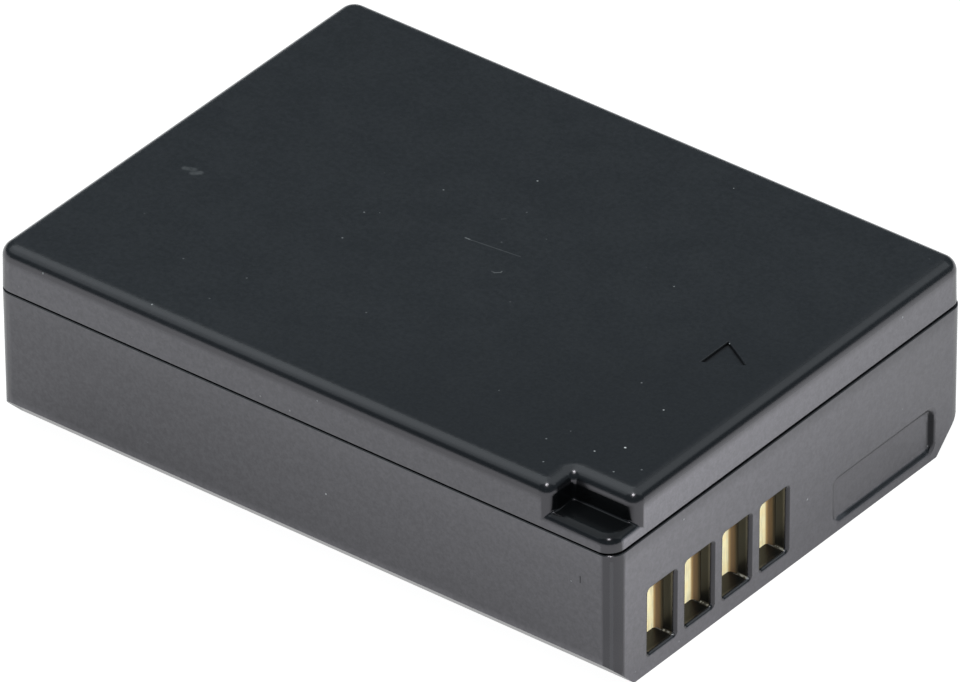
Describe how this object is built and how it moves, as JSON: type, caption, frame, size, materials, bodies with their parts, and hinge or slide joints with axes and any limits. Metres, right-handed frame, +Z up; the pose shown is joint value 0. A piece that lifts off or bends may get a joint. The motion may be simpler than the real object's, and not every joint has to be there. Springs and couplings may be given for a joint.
{
  "type": "camera battery",
  "caption": "Slim block-shaped rechargeable camera battery: moulded case and cover with a keyed corner, contact windows in one end, and cells, straps and board inside.",
  "frame": {"origin": "middle of the underside, on the surface the battery rests on", "axes": "+X along the length towards the contact end, +Y across the width away from the keyed corner, +Z up through the cover"},
  "size_m": [0.049, 0.036, 0.0138],
  "materials": {
    "housing_plastic": "fine moulded grain, charcoal black",
    "contact_gold": "gold plate, bright",
    "can_aluminium": "drawn, satin",
    "gasket_plastic": "moulded, satin",
    "strap_nickel": "rolled nickel strip",
    "adhesive_tape": "matt tissue tape",
    "foam_pad": "open foam, matt",
    "insulating_card": "pressed card, matt",
    "board_laminate": "solder resist, semi-gloss",
    "chip_plastic": "moulded epoxy, matt",
    "chip_ceramic": "fired, matt"
  },
  "bodies": {
    "root": {"bottom_case": "housing_plastic", "top_cover": "housing_plastic", "contact_1": "contact_gold", "contact_2": "contact_gold", "contact_3": "contact_gold", "contact_4": "contact_gold", "lower_cell_can": "can_aluminium", "upper_cell_can": "can_aluminium", "lower_cell_gasket": "gasket_plastic", "upper_cell_gasket": "gasket_plastic", "lower_cell_terminal": "strap_nickel", "upper_cell_terminal": "strap_nickel", "case_tape": "adhesive_tape", "cell_tape": "adhesive_tape", "cover_pad": "foam_pad", "end_card": "insulating_card", "circuit_board": "board_laminate", "positive_strap": "strap_nickel", "series_strap": "strap_nickel", "centre_tap_strap": "strap_nickel", "negative_strap": "strap_nickel", "thermal_fuse": "chip_plastic", "fuse_lead": "strap_nickel", "protection_chip": "chip_plastic", "switch_transistor": "chip_plastic", "thermistor": "chip_ceramic", "chip_resistor_1": "chip_ceramic", "chip_resistor_2": "chip_ceramic", "chip_capacitor_1": "chip_ceramic", "chip_capacitor_2": "chip_ceramic"}
  },
  "joints": []
}
